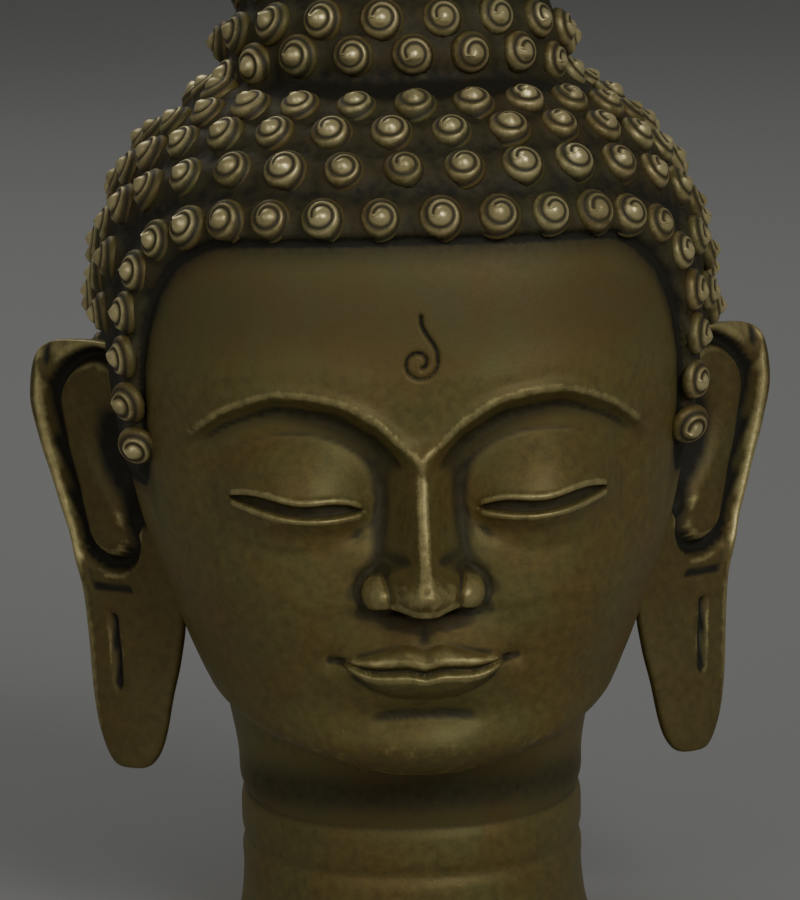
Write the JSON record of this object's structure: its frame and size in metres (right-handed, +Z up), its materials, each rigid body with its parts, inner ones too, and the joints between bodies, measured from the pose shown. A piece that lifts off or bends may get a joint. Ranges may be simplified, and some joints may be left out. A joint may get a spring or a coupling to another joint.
{
  "type": "bronze buddha head",
  "caption": "Cast bronze head of a Buddha on its neck, with closed eyes, long ears, snail-shell curls and a domed topknot, cut flat below to stand by itself.",
  "frame": {"origin": "centre of the neck's flat underside", "axes": "+Z up to the topknot, the face looks along -Y, +X towards the figure's left ear"},
  "size_m": [0.1482, 0.1473, 0.2078],
  "materials": {
    "bronze": "dark brown-olive patina on cast bronze, satin, rubbed to gold on the ridges, the ear rims and the tips of the curls"
  },
  "bodies": {
    "root": {"buddha_head": "bronze"}
  },
  "joints": []
}
